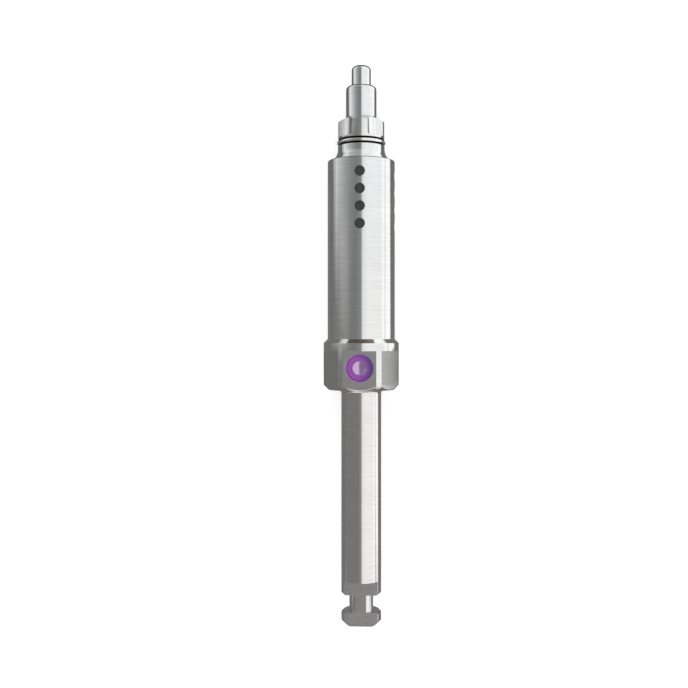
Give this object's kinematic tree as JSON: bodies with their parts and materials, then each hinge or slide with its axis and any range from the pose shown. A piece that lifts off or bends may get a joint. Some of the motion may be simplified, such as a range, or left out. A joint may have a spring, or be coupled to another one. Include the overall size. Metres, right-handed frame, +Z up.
{
  "type": "implant wrench",
  "caption": "Latch type dental implant driver: shank with latch end, hexagon collar with a coloured dimple, marked barrel, spring ring, lobed drive and pilot tip.",
  "frame": {"origin": "on the floor, under the middle of the driver's box, where the driver lies on its flange and its barrel's far edge", "axes": "+Z up, the way the marked front and the latch flat look; +Y along the driver towards its tip, which dips by the small tilt of a driver that lies on its flange; +X to the right of someone who looks down with the tip ahead"},
  "size_m": [0.0044, 0.033, 0.0044],
  "materials": {
    "turned_steel": "fine turned stainless steel",
    "spring_steel": "smooth drawn stainless spring wire",
    "purple_enamel": "glossy tinted lacquer over steel",
    "black_enamel": "matt cured enamel"
  },
  "bodies": {
    "root": {"driver_body": "turned_steel", "retaining_ring": "spring_steel", "dimple_enamel": "purple_enamel", "depth_dot_front_1": "black_enamel", "depth_dot_front_2": "black_enamel", "depth_dot_front_3": "black_enamel", "depth_dot_front_4": "black_enamel", "depth_dot_right_1": "black_enamel", "depth_dot_right_2": "black_enamel", "depth_dot_right_3": "black_enamel", "depth_dot_right_4": "black_enamel", "depth_dot_back_1": "black_enamel", "depth_dot_back_2": "black_enamel", "depth_dot_back_3": "black_enamel", "depth_dot_back_4": "black_enamel", "depth_dot_left_1": "black_enamel", "depth_dot_left_2": "black_enamel", "depth_dot_left_3": "black_enamel", "depth_dot_left_4": "black_enamel"}
  },
  "joints": []
}
